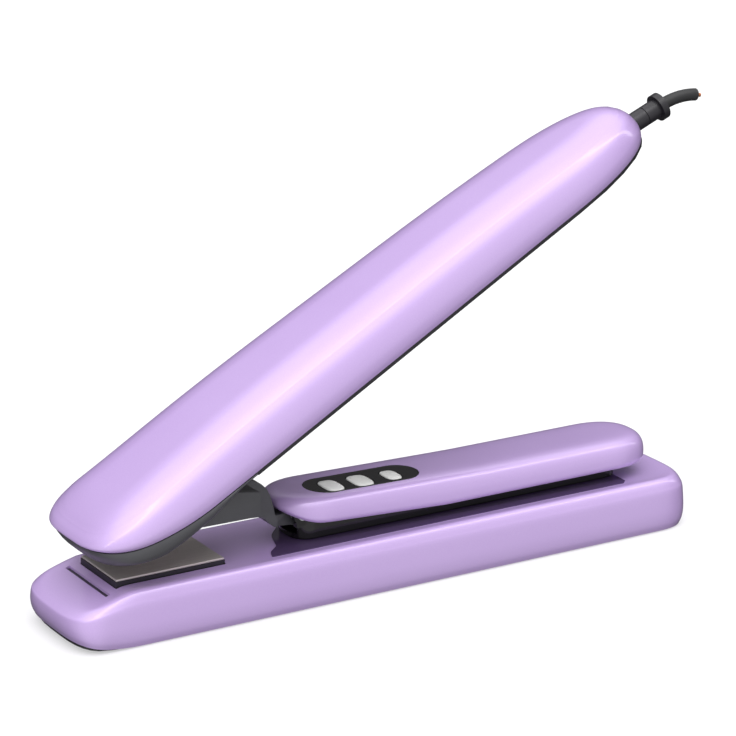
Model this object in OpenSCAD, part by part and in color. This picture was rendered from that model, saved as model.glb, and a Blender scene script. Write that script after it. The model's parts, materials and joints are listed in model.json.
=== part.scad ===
// Flat iron with a floating upper arm. A low base arm carries one heating plate
// and a control handle; a long upper arm carries the second plate and the cord.
// A wishbone link joins them. Millimetres, +Z up, +X from nose to tail,
// origin on the ground under the middle of the base arm.

/* [Base arm] */
// Length of the base arm, nose to tail
base_len = 280; // [276:1:284]
// Width of the base arm
base_w = 52.5; // [52:0.5:54]
// Height of the flat deck above the ground
deck_z = 21.4; // [21:0.1:22]
// Height of the rounded lip along the deck's edge
deck_lip = 0.3; // [0.2:0.1:0.5]
// Wall of the base shell
base_wall = 2.4; // [2:0.1:2.6]
// How far the deck falls away at the nose
nose_fall = 8.1; // [7:0.1:9]

/* [Heating plates] */
// Length of each plate, along the arms
plate_len = 45.2; // [44:0.2:45.6]
// Width of each plate
plate_w = 29.4; // [28:0.2:29.6]
// Distance from the base nose to the lower plate
plate_nose = 21.5; // [21:0.5:23]
// Height of the lower plate above the deck
plate_proud = 2.5; // [2.2:0.1:2.5]
// Thickness of each metal plate
plate_t = 0.9; // [0.8:0.1:1]
// Floating travel of each plate
plate_travel = 0.9; // [0.5:0.1:1]

/* [Control handle] */
// Distance from the base nose to the handle's tip
handle_start = 94.5; // [94:0.5:96]
// Length of the handle cover
handle_len = 171.5; // [168:0.5:173]
// Width of the handle cover
handle_w = 34.6; // [34:0.2:35]
// Height of the cover's lower edge above the deck
handle_rim = 6; // [5.8:0.1:6.4]
// Height of the cover's crown above the deck
handle_top = 18.3; // [18:0.1:18.6]
// Travel of each button
button_travel = 0.8; // [0.5:0.1:0.8]

/* [Upper arm] */
// Length of the upper arm
arm_len = 282; // [280:0.5:284]
// Width the taper starts from, at the nose
arm_nose_w = 59.5; // [58:0.5:60]
// Width the taper ends at, at the tail
arm_tail_w = 45.1; // [44.8:0.1:46]
// Height of the crown above the seam
arm_crown = 21.4; // [21.4:0.1:22]
// Angle between the arms when the iron is open
open_angle = 28.7; // [28:0.1:29]
// Height of the seam above the deck when closed
closed_seam = 7.9; // [7.9:0.1:8.2]

/* [Hinge] */
// Swing pin, distance from the base nose
swing_x = 104; // [103.5:0.5:104.5]
// Swing pin, height above the deck
swing_h = 10.5; // [10.3:0.1:10.8]
// Tilt pin, distance along the upper arm
tilt_s = 36; // [35.5:0.5:36.5]
// Tilt pin, height above the arm's seam
tilt_n = 5; // [4.9:0.1:5.1]
// Radius of both hinge pins
pin_r = 2; // [1.8:0.1:2]

/* [Cord] */
// Radius of the mains cord
cord_r = 2.5; // [2.2:0.1:2.8]
// Radius of the swivelling cord sleeve
sleeve_r = 4; // [3.8:0.1:4]
// Radius of the collar at the end of the sleeve
collar_r = 5.6; // [5:0.1:6]

/* [Hidden] */
$fn = 48;

lavender = [0.78, 0.69, 0.89];
black = [0.06, 0.06, 0.07];
dark_grey = [0.25, 0.25, 0.27];
titanium = [0.74, 0.71, 0.69];
steel = [0.7, 0.71, 0.73];
silver = [0.86, 0.86, 0.86];
aubergine = [0.22, 0.17, 0.26];
rubber = [0.1, 0.1, 0.1];
ceramic = [0.9, 0.88, 0.82];
board_green = [0.08, 0.3, 0.2];
bronze = [0.72, 0.52, 0.28];
copper = [0.8, 0.45, 0.25];

eps = 0.2;
run_clear = 0.05;

cover_t = 1.6;
rim_z = 0.4;
// The fall of the deck at the nose: how far back it reaches and how it curves
fall_run = 28.1;
fall_curve = 1.4;
nose_lift = 4.3;
nose_lift_run = 26.9;
cap_inset = 14;

arm_x = 14.6;
arm_h = 6.2;
seam_reveal = 1.66;
lift = 11.8;
lift_run = 49.2;
tail_fall = 0.22;
tail_run = 111.5;
nose_sink = 0.24;
nose_run = 108.8;
chin_len = 68;
chin_depth = 7.4;
seam_gap = 0.5;
upper_plate_n = closed_seam - plate_proud - 0.1;
cord_n = 2.1;
cord_tilt = 5.5;
housing_r = 4.6;

// Distance along the arm from its nose to the upper plate, so that the plates meet
link_reach = sqrt(pow(swing_x - arm_x - tilt_s * cos(open_angle) + tilt_n * sin(open_angle), 2)
    + pow(arm_h + tilt_s * sin(open_angle) + tilt_n * cos(open_angle) - swing_h, 2));
closed_dz = closed_seam + tilt_n - swing_h;
closed_arm_x = swing_x - sqrt(link_reach * link_reach - closed_dz * closed_dz) - tilt_s;
upper_plate_s = plate_nose - closed_arm_x;
// Distance along the arm to the tip of the handle when the iron is closed
closed_handle_s = handle_start - closed_arm_x;

// ---- outlines and lofts ----

// Half width of a tapering arm at s
function half_at(s, len, w0, w1) = (w0 + (w1 - w0) * s / len) / 2;

// One side of a round-ended outline, nose to tail, moved inwards by d.
// shape = [length, nose width, tail width, nose depth, nose power, tail depth, tail power]
function side(shape, d) =
    let (len = shape[0], a = shape[3] - d, b = shape[5] - d,
        angles = [4, 16, 30, 45, 60, 75, 90])
    concat(
        [for (t = angles)
            let (s = d + a * (1 - pow(cos(t), 2 / shape[4])))
            [s, (half_at(s, len, shape[1], shape[2]) - d) * pow(sin(t), 2 / shape[4])]],
        [for (k = [1 : 9])
            let (s = d + a + (len - 2 * d - a - b) * k * k / 100)
            [s, half_at(s, len, shape[1], shape[2]) - d]],
        [for (i = [len(angles) - 1 : -1 : 0])
            let (t = angles[i], s = len - d - b * (1 - pow(cos(t), 2 / shape[6])))
            [s, (half_at(s, len, shape[1], shape[2]) - d) * pow(sin(t), 2 / shape[6])]]);

// The whole outline: one side out, the mirrored side back
function both_sides(half) = concat(half,
    [for (i = [len(half) - 1 : -1 : 0]) [half[i][0], -half[i][1]]]);

// Solid through a list of equal rings that turn the same way round its outside.
// The first and last ring are closed by strips.
module lofted(rings) {
    n = len(rings[0]);
    top = (len(rings) - 1) * n;
    sides = [for (k = [0 : len(rings) - 2], i = [0 : n - 1])
        [k * n + i, k * n + (i + 1) % n, (k + 1) * n + (i + 1) % n, (k + 1) * n + i]];
    first_cap = [for (i = [0 : n / 2 - 2]) [i + 1, i, n - 1 - i, n - 2 - i]];
    last_cap = [for (i = [0 : n / 2 - 2])
        [top + i, top + i + 1, top + n - 2 - i, top + n - 1 - i]];
    polyhedron([for (r = rings) each r], concat(sides, first_cap, last_cap));
}

base_shape = [base_len, base_w, base_w, 15, 3.25, 22, 3.4];
// The bottom cover fits inside the rim of the shell, from cover_x to near the tail
cover_shape = [base_len - 6.4, base_w - 6.3, base_w - 6.3, 12, 3.25, 19, 3.4];
cover_x = 3.2;
handle_shape = [handle_len, handle_w, handle_w, 24, 2.6, 22, 2.4];
arm_shape = [arm_len, arm_nose_w, arm_tail_w, 26.9, 3.17, 47.4, 2.26];

// Height of a point of the base shell: towards the nose's tip the deck falls and the rim rises
function base_height(s, z) =
    let (share = (z - rim_z) / (deck_z - rim_z))
    z - nose_fall * pow(max(0, 1 - s / fall_run), fall_curve) * share * share
        + nose_lift * pow(max(0, 1 - s / nose_lift_run), 2) * (1 - share);

// Height of a point of the bottom cover: its nose rises with the rim of the shell
function cover_height(s, z) = z + 2.4 * pow(max(0, 1 - s / 24), 2);

// Height of a point of the handle cover: its top slopes down from the tip, its lower edge rises there
function handle_height(s, z) =
    let (share = (z - handle_rim) / (handle_top - handle_rim))
    z + (1.9 * max(0, 1 - s / 90) - 1.1) * share
        + (3.6 * max(0, 1 - s / 70) + 4 * pow(max(0, 1 - s / 14), 1.6)) * (1 - share);

// Height of a point of the upper arm: the seam rises at the nose, the crown falls at both ends
function arm_height(s, n) =
    let (sink = n <= 0 ? 0 : tail_fall * pow(max(0, (s - arm_len + tail_run) / tail_run), 2)
            + nose_sink * pow(max(0, 1 - s / nose_run), 2),
        fade = n <= 0 ? 1 : max(0, 1 - n / arm_crown))
    n * (1 - sink) + lift * fade * pow(max(0, 1 - s / lift_run), 2);

function base_ring(d, z) = [for (p = both_sides(side(base_shape, d)))
    [p[0], p[1], base_height(p[0], z)]];
// Ring that hangs under the deck by depth
function hanging_ring(d, depth) = [for (p = both_sides(side(base_shape, d)))
    [p[0], p[1], base_height(p[0], deck_z) - depth]];
function cover_ring(z) = [for (p = both_sides(side(cover_shape, 0)))
    [p[0] + cover_x, p[1], cover_height(p[0] + cover_x, z)]];
function handle_ring(d, z) = [for (p = both_sides(side(handle_shape, d)))
    [p[0], p[1], handle_height(p[0], z)]];
function arm_ring(d, n) = [for (p = both_sides(side(arm_shape, d)))
    [p[0], p[1], arm_height(p[0], n)]];

// ---- places ----

// Distances from the base nose
module on_base() translate([-base_len / 2, 0, 0]) children();
// Distances from the base nose, heights from the deck
module on_deck() translate([-base_len / 2, 0, deck_z]) children();
// Distances along the upper arm, heights from its seam
module on_arm() translate([arm_x - base_len / 2, 0, deck_z + arm_h])
    rotate([0, -open_angle, 0]) children();
module at_swing_pin() on_deck() translate([swing_x, 0, swing_h]) children();
module at_tilt_pin() on_arm() translate([tilt_s, 0, tilt_n]) children();

// Box with its lower corner at p
module block(p, size) translate(p) cube(size);
// Box that is centred across the part
module mid_block(x, w, z, len, h) translate([x, -w / 2, z]) cube([len, w, h]);
// Round bar across the part, from y0 to y1
module cross_bar(r, y0, y1) translate([0, y0, 0]) rotate([-90, 0, 0]) cylinder(r = r, h = y1 - y0);
// Flat plate with its outline in the side view, from y0 to y1
module side_plate(points, y0, y1) translate([0, y1, 0]) rotate([90, 0, 0])
    linear_extrude(y1 - y0) polygon(points);
// Both the near and the far copy of a piece
module both_hands() {
    children();
    mirror([0, 1, 0]) children();
}
// Coil of a torsion spring along Y
module coil(r, wire, turns, pitch) {
    steps = round(turns * 14);
    rings = [for (i = [0 : steps])
        let (a = i * 360 / 14, y = pitch * i / 14)
        [for (j = [0 : 5])
            let (b = -j * 60 + 30, q = r + wire * cos(b))
            [q * cos(a), y + wire * sin(b), q * sin(a)]]];
    n = 6;
    sides = [for (k = [0 : steps - 1], j = [0 : n - 1])
        [k * n + j, k * n + (j + 1) % n, (k + 1) * n + (j + 1) % n, (k + 1) * n + j]];
    polyhedron([for (g = rings) each g],
        concat(sides, [[for (j = [n - 1 : -1 : 0]) j]], [[for (j = [0 : n - 1]) steps * n + j]]));
}

// ---- base arm ----

post_y = 19.3;
slot_x = 16.3;
// Screw posts of the chassis, one on each side at every station
posts = [for (x = [30, 84, 160, 236, 262], y = [-post_y, post_y]) [x, y]];
post_r = 2.6;
screw_r = 1.2;
chassis_t = 1.2;

holder_l = plate_len + 0.4;
holder_w = plate_w + 0.4;
pocket_gap = 0.3;

frame_x = 101;
frame_len = 151;
frame_w = 20.4;
inlay_t = 0.3;
inlay_x = 86;
inlay_len = 164;
inlay_w = 36.6;
// Front end of the inlay, a slanting line from its near corner back to its far one
inlay_front = [[0, -inlay_w / 2], [0, -16.8], [7.7, -4.9], [10.4, 1.9], [15.7, 8.2], [24, inlay_w / 2]];
handle_screw_x = [125, 185, 240];
wire_x = 150;

module base_shell() color(lavender) difference() {
    on_base() lofted([
        hanging_ring(cap_inset, base_wall),
        hanging_ring(4.2, base_wall),
        hanging_ring(3.4, base_wall + 1.2),
        base_ring(2.6, deck_z - 11.4),
        base_ring(2.6, rim_z + 5),
        base_ring(3, rim_z),
        base_ring(1.4, rim_z),
        base_ring(0.35, rim_z + 3.2),
        base_ring(0, rim_z + 7),
        base_ring(0.3, deck_z - 6.5),
        base_ring(1.3, deck_z - 3),
        base_ring(2.9, deck_z - 0.8),
        base_ring(4.6, deck_z + deck_lip / 2),
        base_ring(7, deck_z),
        base_ring(cap_inset, deck_z)]);
    on_deck() mid_block(plate_nose - eps - pocket_gap, holder_w + 2 * pocket_gap, -8,
        holder_l + 2 * pocket_gap, 12);
    on_deck() mid_block(slot_x, 34, -8, 1, 12);
    on_deck() for (x = handle_screw_x) translate([x, 0, -8]) cylinder(r = screw_r + 0.1, h = 12);
    on_deck() translate([wire_x, 0, -8]) cylinder(r = 3, h = 12);
}

// Skeleton that hangs under the deck and takes every screw of the base
module base_chassis() color(dark_grey) difference() {
    union() {
        on_deck() mid_block(78, 43.2, -base_wall - chassis_t, 182, chassis_t);
        on_deck() both_hands() block([28.2, post_y - post_r, -base_wall - chassis_t - 0.35],
            [52, 2 * post_r, chassis_t]);
        on_base() for (p = posts) translate([p[0], p[1], cover_t + 2.4])
            cylinder(r = post_r, h = deck_z - base_wall - chassis_t / 2 - cover_t - 2.4);
    }
    on_base() for (p = posts) translate([p[0], p[1], 0]) cylinder(r = screw_r, h = 16);
    on_deck() for (x = handle_screw_x) translate([x, 0, -8]) cylinder(r = screw_r + 0.1, h = 12);
    on_deck() translate([wire_x, 0, -8]) cylinder(r = 3, h = 12);
}

// Grip pads let into the cover, flush with it
feet = [[42, 17], [42, -17], [249, 17], [249, -17]];
foot_r = 5;
foot_t = 1.1;

module bottom_cover() color(black) difference() {
    union() {
        on_base() lofted([cover_ring(0), cover_ring(cover_t)]);
        on_base() for (p = posts)
            translate([p[0], p[1], 0]) cylinder(r = post_r, h = cover_t + 2.3);
    }
    on_base() for (p = posts) {
        translate([p[0], p[1], -eps]) cylinder(r = screw_r + 0.1, h = 8);
        translate([p[0], p[1], -eps]) cylinder(r = 2.3, h = 1 + eps);
    }
    on_base() for (p = feet) translate([p[0], p[1], -eps]) cylinder(r = foot_r + run_clear, h = foot_t + eps);
}

module rubber_feet() color(rubber) on_base() for (p = feet)
    translate([p[0], p[1], 0]) cylinder(r = foot_r, h = foot_t);

module screw(len, head_r, head_h) {
    difference() {
        cylinder(r = head_r, h = head_h);
        translate([0, 0, -eps]) cylinder(r = 0.9, h = 0.7, $fn = 6);
    }
    cylinder(r = screw_r - 0.05, h = len);
}

module cover_screws() color(steel) on_base() for (p = posts)
    translate([p[0], p[1], 0.1]) screw(9, 2.2, 0.9);

module nose_vent() color(black) on_deck() difference() {
    mid_block(slot_x - 1.5, 36, -base_wall - 4.4, 4, 1.2);
    for (y = [-15 : 5 : 15]) translate([slot_x + 0.5, y, -8]) cylinder(r = 0.8, h = 6);
}

// Metal plate with eased ends
module plate_metal(w, len) translate([0, w / 2, 0]) rotate([90, 0, 0])
    linear_extrude(w) polygon([[0, 0.3], [0.3, 0], [len - 0.3, 0], [len, 0.3],
        [len, plate_t - 0.3], [len - 0.3, plate_t], [0.3, plate_t], [0, plate_t - 0.3]]);

module lower_plate() color(titanium) on_deck()
    translate([plate_nose, 0, plate_proud - plate_t]) plate_metal(plate_w, plate_len);

// Moulded holder under a plate, open towards the metal for the heater
module plate_holder(depth) difference() {
    mid_block(-eps, holder_w, -depth, holder_l, depth);
    mid_block(4, 20, -1.6, plate_len - 8, 2);
    mid_block(14, 8, -3.2, 12, 2);
}

module lower_plate_holder() color(black) on_deck()
    translate([plate_nose, 0, plate_proud - plate_t]) plate_holder(7);

module lower_heater() color(ceramic) on_deck()
    mid_block(plate_nose + 4.2, 19.6, plate_proud - plate_t - 1.6, plate_len - 8.4, 1.6);

module lower_sensor() color(ceramic) on_deck()
    mid_block(plate_nose + 16, 4, plate_proud - plate_t - 3.2, 7, 1.6);

pad_h = plate_travel + 1.5;
tray_z = plate_proud - plate_t - 7 - pad_h;
module plate_tray() color(black) on_deck() {
    mid_block(plate_nose - 3, 33, tray_z - 1.8, plate_len + 6, 1.8);
    both_hands() block([fall_run + 0.4, 15.3, tray_z - 0.2],
        [plate_nose + plate_len + 2.6 - fall_run, 1.2, -base_wall - tray_z - 0.2]);
}

module float_pads() color(rubber) on_deck() for (x = [6, plate_len - 6], y = [-9, 9])
    translate([plate_nose + x, y, tray_z]) cylinder(r = 3, h = pad_h);

module deck_inlay() color(aubergine) on_deck() difference() {
    linear_extrude(inlay_t) polygon([for (p = inlay_front) [inlay_x + p[0], p[1]],
        [inlay_x + inlay_len, inlay_w / 2], [inlay_x + inlay_len, -inlay_w / 2]]);
    for (x = handle_screw_x) translate([x, 0, -1]) cylinder(r = screw_r + 0.1, h = 3);
    translate([wire_x, 0, -1]) cylinder(r = 3, h = 3);
}

// ---- control handle ----

fork_gap = 14;
board_z = 12.6;
frame_top = 12;

module handle_frame() color(black) on_deck() difference() {
    union() {
        mid_block(frame_x, frame_w, inlay_t, frame_len, handle_rim - inlay_t + 0.4);
        mid_block(frame_x + 7, frame_w, handle_rim, frame_len - 9, 3);
        mid_block(frame_x + 2.5, frame_w, handle_rim + 2, frame_len - 6, frame_top - handle_rim - 2);
        translate([swing_x, 0, swing_h]) cross_bar(3.8, -9.4, 9.4);
        mid_block(swing_x - 3, 18.8, handle_rim, 10, 3);
    }
    mid_block(frame_x - 5, fork_gap, inlay_t + 2.2, 16.5, 20);
    translate([swing_x, 0, swing_h]) cross_bar(pin_r, -20, 20);
    for (x = handle_screw_x) translate([x, 0, -1]) cylinder(r = screw_r, h = 9);
    translate([wire_x, 0, -1]) cylinder(r = 3, h = 20);
    mid_block(frame_x + 20, 16, 8, frame_len - 30, 10);
}

// Rounded-square outline of a button
function button_outline(l, w) = [for (t = [0 : 15 : 345])
    [l / 2 * sign(cos(t)) * pow(abs(cos(t)), 0.62), w / 2 * sign(sin(t)) * pow(abs(sin(t)), 0.62)]];

panel_x = 108.5;
panel_len = 50;
panel_w = 17;
panel_y = -3;
panel_z = handle_top - 1.2;
panel_t = 1;
// Place, length and width of each button
buttons = [[119.1, 7.8, 12], [132.1, 8.4, 12], [145.9, 6.6, 10]];
button_y = -4.7;

module panel_outline(grow) {
    end_r = panel_w / 2 + grow;
    translate([panel_x + panel_w / 2, panel_y]) circle(r = end_r);
    translate([panel_x + panel_len - panel_w / 2, panel_y]) circle(r = end_r);
    translate([panel_x + panel_w / 2, panel_y - end_r]) square([panel_len - panel_w, 2 * end_r]);
}

module button_holes(grow) for (b = buttons)
    translate([b[0], button_y]) polygon(button_outline(b[1] + 2 * grow, b[2] + 2 * grow));

module handle_cover() color(lavender) on_deck() difference() {
    translate([handle_start, 0, 0]) lofted([
        handle_ring(16, handle_top - 2.2),
        handle_ring(6, handle_top - 3.2),
        handle_ring(3, handle_top - 6),
        handle_ring(2.1, handle_rim + 3),
        handle_ring(2.4, handle_rim),
        handle_ring(0.8, handle_rim),
        handle_ring(0, handle_rim + 3),
        handle_ring(0.15, handle_top - 6.3),
        handle_ring(0.7, handle_top - 4.1),
        handle_ring(1.9, handle_top - 2.1),
        handle_ring(3.6, handle_top - 0.9),
        handle_ring(6, handle_top - 0.3),
        handle_ring(16, handle_top)]);
    translate([0, 0, panel_z]) linear_extrude(4) panel_outline(0.1);
    translate([0, 0, 14]) linear_extrude(8) button_holes(0.5);
}

module control_panel() color(black) on_deck() translate([0, 0, panel_z]) linear_extrude(panel_t)
    difference() {
        panel_outline(0);
        button_holes(0.3);
    }

button_foot = board_z + 3.2 + button_travel;
module button(i) color(silver) on_deck() translate([buttons[i][0], button_y, button_foot])
    linear_extrude(handle_top + 0.6 - button_foot) polygon(button_outline(buttons[i][1], buttons[i][2]));
module button_power() button(0);
module button_up() button(1);
module button_down() button(2);

module button_board() color(board_green) on_deck() difference() {
    mid_block(frame_x + 10, 20, frame_top, 45, board_z + 0.4 - frame_top);
    translate([wire_x - 3, 0, 0]) cylinder(r = 2, h = 20);
}

module tact_switches() color(silver) on_deck() for (b = buttons) {
    block([b[0] - 3, button_y - 3, board_z + 0.4], [6, 6, 1.6]);
    translate([b[0], button_y, board_z + 1.8]) cylinder(r = 1.6, h = 0.8);
}

module handle_screws() color(steel) on_deck() for (x = handle_screw_x)
    translate([x, 0, -base_wall - chassis_t - 0.9]) screw(11, 2.4, 0.9);

// ---- electronics in the base ----

board_x = 108;
board_len = 118;
board_w = 32;
board_t = 1.6;
board_low = cover_t + 4.2;
board_top = board_low + board_t;

module power_board() color(board_green) on_base() difference() {
    mid_block(board_x, board_w, board_low, board_len, board_t);
    for (x = [4, board_len - 4], y = [-12, 12])
        translate([board_x + x, y, 0]) cylinder(r = 1.2, h = 20);
}

module board_parts() color(dark_grey) on_base() {
    mid_block(board_x + 14, 16, board_top, 18, 9);
    for (x = [46, 58]) translate([board_x + x, 8, board_top]) cylinder(r = 4.5, h = 9);
    mid_block(board_x + 72, 10, board_top, 12, 8);
    translate([board_x + 96, -4, board_top]) cylinder(r = 5, h = 6);
}

module board_standoffs() color(steel) on_base() for (x = [4, board_len - 4], y = [-12, 12])
    translate([board_x + x, y, cover_t]) cylinder(r = 2, h = board_low - cover_t);

module base_harness() color(copper) on_base() for (y = [-1.3, 1.3])
    translate([wire_x, y, board_top]) cylinder(r = 0.9, h = deck_z + frame_top - board_top);

// ---- hinge ----

hub_w = 9;
hub_r = 5.4;
bush_r = 3;
cheek_in = 16.5;
cheek_out = 19.5;
boss_r = 5;
boss_rise = 0.3;

tilt_x = arm_x + tilt_s * cos(open_angle) - tilt_n * sin(open_angle);
tilt_h = arm_h + tilt_s * sin(open_angle) + tilt_n * cos(open_angle);

// Near and far face of the link's cross piece, from the swing pin
cross_near = 24;
cross_far = 31.5;
// Middle bar of the link: under the handle's tip, over a shoulder, to the cross piece
bar_side = [[swing_x + 3.5, swing_h - 3.6], [swing_x - 1, swing_h - 4.8], [swing_x - 11, 6.8],
    [swing_x - 15.5, 12], [swing_x - cross_far, 12.6], [swing_x - cross_far, 27.5],
    [swing_x - 21, 27.5], [swing_x - 17, 25.8], [swing_x - 13.5, 21.6], [swing_x - 11, 15.4],
    [swing_x - 10.4, 10.8], [swing_x - 5.2, 10.8], [swing_x - 1, swing_h + 4.8],
    [swing_x + 3.5, swing_h + 3.6]];
// Side cheek of the link, from the cross piece to the tilt pin
cheek_side = [[tilt_x - 3, tilt_h - 3.2], [tilt_x + 0.5, tilt_h - 4.7], [tilt_x + 8, tilt_h - 9.6],
    [swing_x - cross_far + 2, 18], [swing_x - cross_near, 18.4], [swing_x - cross_near, 28.4],
    [tilt_x + 20, tilt_h + 2.5], [tilt_x + 2.5, tilt_h + 4.2], [tilt_x - 3, tilt_h + 3.2]];

module hinge_link() color(dark_grey) difference() {
    union() {
        on_deck() side_plate(bar_side, -6.4, 6.4);
        at_swing_pin() cross_bar(hub_r, -hub_w / 2, hub_w / 2);
        on_deck() mid_block(swing_x - cross_far, 2 * cheek_out, 18, cross_far - cross_near, 9.5);
        on_deck() both_hands() side_plate(cheek_side, cheek_in, cheek_out);
        both_hands() at_tilt_pin() cross_bar(boss_r, cheek_in - boss_rise, cheek_out + boss_rise);
    }
    on_deck() both_hands() block([swing_x - 9.5, hub_w / 2, 0], [20, 10, 30]);
    at_swing_pin() cross_bar(bush_r, -10, 10);
    at_tilt_pin() cross_bar(pin_r, -30, 30);
}

module link_bushes() color(bronze) both_hands() at_swing_pin() difference() {
    cross_bar(bush_r, 0.2, hub_w / 2);
    cross_bar(pin_r + run_clear, -1, 10);
}

module swing_pin() color(steel) at_swing_pin() cross_bar(pin_r, -9.6, 9.6);

module swing_springs() color(steel) both_hands() at_swing_pin()
    translate([0, hub_w / 2 + 0.7, 0]) coil(3.1, 0.3, 2, 0.62);

module tilt_pin() color(steel) at_tilt_pin() cross_bar(pin_r, -23.4, 23.4);

module tilt_springs() color(steel) both_hands() at_tilt_pin()
    translate([0, 23.7, 0]) coil(2.9, 0.3, 2, 0.62);

// ---- upper arm ----

module upper_shell() color(lavender) on_arm() difference() {
    lofted([
        arm_ring(21, arm_crown - 2.2),
        arm_ring(12, 18.4),
        arm_ring(7, 16.2),
        arm_ring(4.6, 13.2),
        arm_ring(3.2, 9.5),
        arm_ring(2.6, 5),
        arm_ring(2.6, 0),
        arm_ring(0.7, 0),
        arm_ring(0.15, 2.2),
        arm_ring(0, 5),
        arm_ring(0.35, 7.6),
        arm_ring(1, 10.2),
        arm_ring(2, 12.9),
        arm_ring(3.2, 14.9),
        arm_ring(5, 17),
        arm_ring(8, 19.2),
        arm_ring(12, 20.65),
        arm_ring(16.5, 21.3),
        arm_ring(21, arm_crown)]);
    at_cord(arm_len - 16) cylinder(r = housing_r + run_clear, h = 26);
}

trough_s = 84;
trough_end = closed_handle_s + handle_len + 1.3;
trough_w = 37.2;
trough_n = 12.1;
trough_wall = 0.9;
// Room for the handle inside the upper arm, grown by g: a slanting section with a round tail
module trough_room(g) intersection() {
    translate([trough_s, 0, 0]) rotate([90, 0, 90]) linear_extrude(trough_end + 10 - trough_s)
        polygon(both_ways([[trough_w / 2 + g, -4], [trough_w / 2 + g, 6.5 + g / 2],
            [13 + g / 2, trough_n + g]]));
    translate([0, 0, -seam_reveal]) linear_extrude(30)
        polygon(both_sides(side([trough_end + g, trough_w + 2 * g, trough_w + 2 * g, 24, 2.6, 23.3, 2.4], 0)));
}
// Right half of a section, and its mirror image back
function both_ways(half) = concat(half,
    [for (i = [len(half) - 1 : -1 : 0]) [-half[i][0], half[i][1]]]);

// The part of the outline behind the chin
function rear_outline(d, from) = both_sides(concat(
    [[from, half_at(from, arm_len, arm_nose_w, arm_tail_w) - d]],
    [for (p = side(arm_shape, d)) if (p[0] > from + 1) p]));

module upper_liner() color(black) on_arm() difference() {
    union() {
        translate([0, 0, -seam_reveal]) linear_extrude(seam_reveal - 0.08)
            polygon(rear_outline(0.9, chin_len + 0.2));
        trough_room(trough_wall);
    }
    trough_room(0);
    mid_block(chin_len - 1, trough_w, -4, trough_s - chin_len + 2, 30);
    mid_block(chin_len - 1, 2 * cheek_out + 0.9, -4, 9, 30);
    at_cord(trough_end + trough_wall + 0.3) cylinder(r = housing_r + run_clear, h = 40);
}

// Depth of the chin below the seam, fading into the liner
function chin_at(s) = chin_depth - (chin_depth - seam_reveal) * min(1, max(0, (s - 22) / 40));

// One side of the chin's outline: the round nose, then straight to its rear edge
function chin_side(d) =
    let (nose = side(arm_shape, d))
    concat(
        [for (i = [0 : 6]) nose[i]],
        [for (s = [44, 56, chin_len - 0.05 * d])
            [s, half_at(s, arm_len, arm_nose_w, arm_tail_w) - d]]);
function chin_ring(d, part) = [for (p = both_sides(chin_side(d)))
    [p[0], p[1], arm_height(p[0], 0) - seam_gap - (chin_at(p[0]) - seam_gap) * part]];

lug_in = 20.2;
lug_out = 23.2;
chin_posts = [[12, 14], [12, -14]];

module upper_chin() color(dark_grey) on_arm() difference() {
    union() {
        lofted([chin_ring(26, 1), chin_ring(2.4, 1), chin_ring(1.2, 0.8), chin_ring(0.9, 0.35),
            chin_ring(1, 0), chin_ring(26, 0)]);
        both_hands() translate([tilt_s, 0, tilt_n]) cross_bar(boss_r, lug_in, lug_out);
        both_hands() block([tilt_s - boss_r, lug_in, -1.2], [2 * boss_r, lug_out - lug_in, tilt_n + 1.2]);
    }
    mid_block(upper_plate_s - eps - pocket_gap, holder_w + 2 * pocket_gap, -20,
        holder_l + 2 * pocket_gap, 40);
    mid_block(28, 2 * cheek_out + 0.9, -20, 50, 40);
    translate([tilt_s, 0, tilt_n]) cross_bar(pin_r + run_clear, -40, 40);
    for (p = chin_posts) translate([p[0], p[1], -20]) cylinder(r = screw_r, h = 60);
}

module chin_screws() color(steel) on_arm() for (p = chin_posts)
    translate([p[0], p[1], arm_height(p[0], 0) - chin_at(p[0]) + 0.3]) screw(9, screw_r - 0.05, 1);

// Along the tilted axis of the cord's swivel, s from the arm's nose
module at_cord(s) translate([arm_len, 0, cord_n]) rotate([0, 90 + cord_tilt, 0])
    translate([0, 0, s - arm_len]) children();
module along_cord(s) on_arm() at_cord(s) children();

// Flips a piece so that its top faces down at the upper plate
module facing_down() on_arm() translate([upper_plate_s, 0, -upper_plate_n + plate_t])
    mirror([0, 0, 1]) children();

module upper_plate() color(titanium) facing_down() plate_metal(plate_w, plate_len);
module upper_plate_holder() color(black) facing_down() plate_holder(6.4);
module upper_heater() color(ceramic) facing_down() mid_block(4.2, 19.6, -1.6, plate_len - 8.4, 1.6);
module thermal_fuse() color(ceramic) facing_down() mid_block(16, 4, -3.2, 7, 1.6);

module leaf_spring() color(steel) facing_down() {
    mid_block(4, 16, -7.4, plate_len - 8, 0.5);
    mid_block(4, 16, -7, 2, 0.6);
    mid_block(plate_len - 6, 16, -7, 2, 0.6);
}

module upper_harness() color(copper) on_arm() for (y = [-3, 3])
    translate([82, y, trough_n + 2.4]) rotate([0, 90, 0]) cylinder(r = 0.9, h = trough_end - 86);

housing_s = trough_end + trough_wall + 0.5;
housing_len = 13;

module swivel_housing() color(black) difference() {
    along_cord(housing_s) cylinder(r = housing_r, h = housing_len);
    along_cord(housing_s + 2) cylinder(r = sleeve_r + run_clear, h = 40);
}

module slip_contacts() color(bronze) for (i = [0, 1])
    along_cord(housing_s + 2.2 + i * 0.9) difference() {
        cylinder(r = 3.6, h = 0.5);
        translate([0, 0, -1]) cylinder(r = 2.6, h = 3);
    }

sleeve_s = housing_s + 4.2;
sleeve_end = arm_len + 12.4;
collar_t = 2.8;
bend_r = 32;
bend = 30;

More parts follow.
